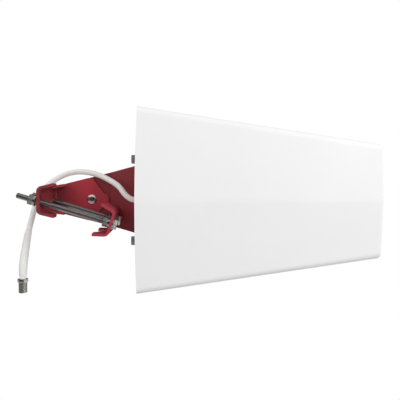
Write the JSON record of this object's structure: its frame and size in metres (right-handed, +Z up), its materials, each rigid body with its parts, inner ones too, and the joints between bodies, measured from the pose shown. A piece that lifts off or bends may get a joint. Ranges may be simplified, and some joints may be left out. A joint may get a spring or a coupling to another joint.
{
  "type": "directional antenna",
  "caption": "Wedge-shaped directional antenna in a ridged white housing, on a red tilting arm with a toothed pole clamp, bolts and a white coaxial tail.",
  "frame": {"origin": "on the axis of a 50 mm pole held in the fixed jaw, half way up the jaw", "axes": "+X along the boresight, towards the housing's low front; +Z up the pole; the arm is on the +Y side"},
  "size_m": [0.4434, 0.0974, 0.2203],
  "materials": {
    "radome_plastic": "satin moulded plastic",
    "cap_plastic": "matt moulded plastic",
    "gasket_rubber": "matt",
    "grommet_rubber": "matt",
    "boom_aluminium": "extruded",
    "rod_aluminium": "drawn",
    "holder_plastic": "moulded",
    "board_laminate": "glass-fibre laminate",
    "feed_jacket": "fluoropolymer jacket",
    "zinc_steel": "zinc plated",
    "washer_steel": "zinc plated",
    "nut_steel": "zinc plated",
    "pivot_steel": "zinc plated",
    "insert_brass": "knurled",
    "arm_paint": "powder coat",
    "bracket_paint": "powder coat",
    "jaw_paint": "powder coat",
    "cable_jacket": "satin jacket",
    "sleeve_plastic": "shrunk sleeve",
    "socket_nickel": "nickel plated",
    "insulator_plastic": "moulded",
    "contact_brass": "plain"
  },
  "bodies": {
    "pole bracket": {"pole_bracket": "bracket_paint", "pivot_screw": "pivot_steel", "pivot_washer": "washer_steel", "pivot_nut": "nut_steel"},
    "antenna": {"antenna_bracket": "arm_paint", "flange_bolts": "zinc_steel", "radome_shell": "radome_plastic", "rear_cap": "cap_plastic", "cap_gasket": "gasket_rubber", "cable_grommet": "grommet_rubber", "boom_near": "boom_aluminium", "boom_far": "boom_aluminium", "elements_near": "rod_aluminium", "elements_far": "rod_aluminium", "boom_holder": "holder_plastic", "mid_spacer": "holder_plastic", "front_spacer": "holder_plastic", "shorting_bar": "boom_aluminium", "feed_board": "board_laminate", "feed_coax": "feed_jacket", "holder_screws": "zinc_steel", "shorting_screws": "zinc_steel", "feed_screws": "zinc_steel", "threaded_inserts": "insert_brass", "coax_cable": "cable_jacket", "heat_shrink_sleeve": "sleeve_plastic", "socket_body": "socket_nickel", "socket_insulator": "insulator_plastic", "socket_contact": "contact_brass"},
    "clamp swing": {"outer_flat_washers": "washer_steel", "outer_lock_washers": "washer_steel", "outer_nuts": "nut_steel"},
    "clamp": {"clamp_jaw": "jaw_paint", "clamp_bolts": "zinc_steel", "clamp_head_washers": "washer_steel", "inner_washers": "washer_steel", "inner_lock_washers": "washer_steel", "inner_nuts": "nut_steel"}
  },
  "joints": [
    {"name": "tilt", "type": "hinge", "parent": "pole bracket", "child": "antenna", "pos_m": [0.0139, 0.042, 0], "axis": [0, 1, 0], "range_deg": [-20, 20]},
    {"name": "clamp_swing", "type": "hinge", "parent": "pole bracket", "child": "clamp swing", "pos_m": [-0.0329, 0, -0.0017], "axis": [0, -1, 0], "range_deg": [0, 17.1]},
    {"name": "clamp_slide", "type": "slide", "parent": "clamp swing", "child": "clamp", "axis": [-0.9558, 0, 0.294], "range_m": [0, 0.024]}
  ]
}
